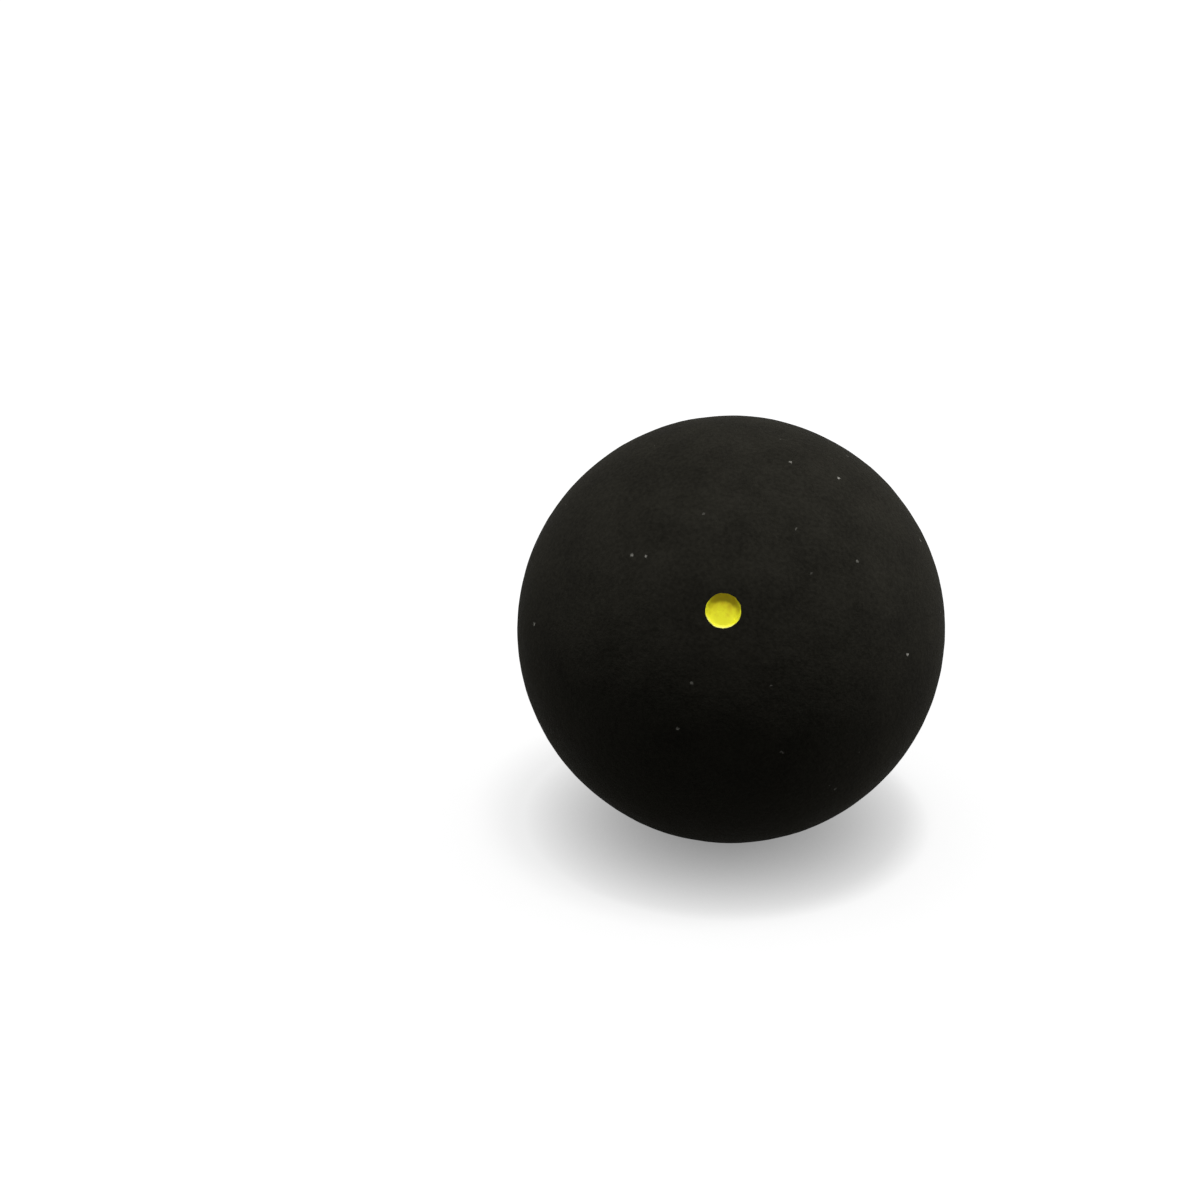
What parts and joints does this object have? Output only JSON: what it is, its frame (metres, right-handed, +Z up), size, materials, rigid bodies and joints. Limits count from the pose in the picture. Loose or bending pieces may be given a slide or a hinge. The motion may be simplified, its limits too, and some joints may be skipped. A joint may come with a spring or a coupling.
{
  "type": "squash ball",
  "caption": "Hollow matte black rubber ball for the game of squash, moulded as half shells and cemented at a flush seam, with a small yellow speed dot in a shallow dish.",
  "frame": {"origin": "centre of the ball", "axes": "+Z up, +X to the right of someone who faces the dot, +Y away from them; the dot's pole axis lies in the YZ plane, facing -Y and 30 degrees above the horizontal"},
  "size_m": [0.04, 0.04, 0.04],
  "materials": {
    "shell_rubber": "matte",
    "rubber_cement": "satin",
    "dot_paint": "satin",
    "mark_ink": "matte"
  },
  "bodies": {
    "root": {"front_half_shell": "shell_rubber", "rear_half_shell": "shell_rubber", "seam_cement": "rubber_cement", "speed_dot": "dot_paint"}
  },
  "joints": []
}
